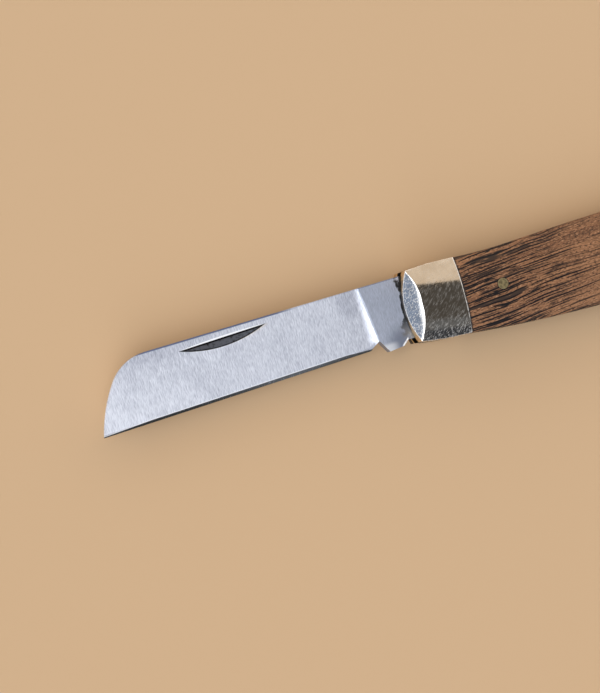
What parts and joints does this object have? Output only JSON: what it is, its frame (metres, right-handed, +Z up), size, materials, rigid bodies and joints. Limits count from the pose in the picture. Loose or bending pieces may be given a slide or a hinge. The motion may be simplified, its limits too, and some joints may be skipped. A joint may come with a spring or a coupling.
{
  "type": "folding pocket knife",
  "caption": "Folding slip-joint pocket knife: a straight-edged blade with a rounded nose and nail nick swings shut into a wood-covered handle with metal bolsters and brass liners.",
  "frame": {"origin": "middle of the open knife's box, on the plane that it lies on", "axes": "+X from the blade to the butt along the blade, +Y from the belly to the back, +Z up from the lower cover"},
  "size_m": [0.1616, 0.0194, 0.0112],
  "materials": {
    "blade_steel": "satin ground, fine lines across",
    "spring_steel": "ground",
    "liner_brass": "rolled sheet, satin edges",
    "nickel_silver": "polished, lightly scratched",
    "cover_wood": "open grain, oiled",
    "pin_brass": "dull, ground flush"
  },
  "bodies": {
    "handle": {"back_spring": "spring_steel", "liner_mark": "liner_brass", "liner_pile": "liner_brass", "bolster_mark": "nickel_silver", "bolster_pile": "nickel_silver", "cover_mark": "cover_wood", "cover_pile": "cover_wood", "pivot_pin": "nickel_silver", "spring_pin": "pin_brass", "end_pin": "pin_brass", "cover_pin_mark": "pin_brass", "cover_pin_pile": "pin_brass", "bolster_rivet_back_mark": "nickel_silver", "bolster_rivet_belly_mark": "nickel_silver", "bolster_rivet_back_pile": "nickel_silver", "bolster_rivet_belly_pile": "nickel_silver"},
    "blade": {"blade": "blade_steel"}
  },
  "joints": [
    {"name": "blade_pivot", "type": "hinge", "parent": "handle", "child": "blade", "pos_m": [-0.00735, -0.00035, 0.0056], "axis": [0, 0, 1], "range_deg": [0, 174], "deforming": ["back_spring"]}
  ]
}
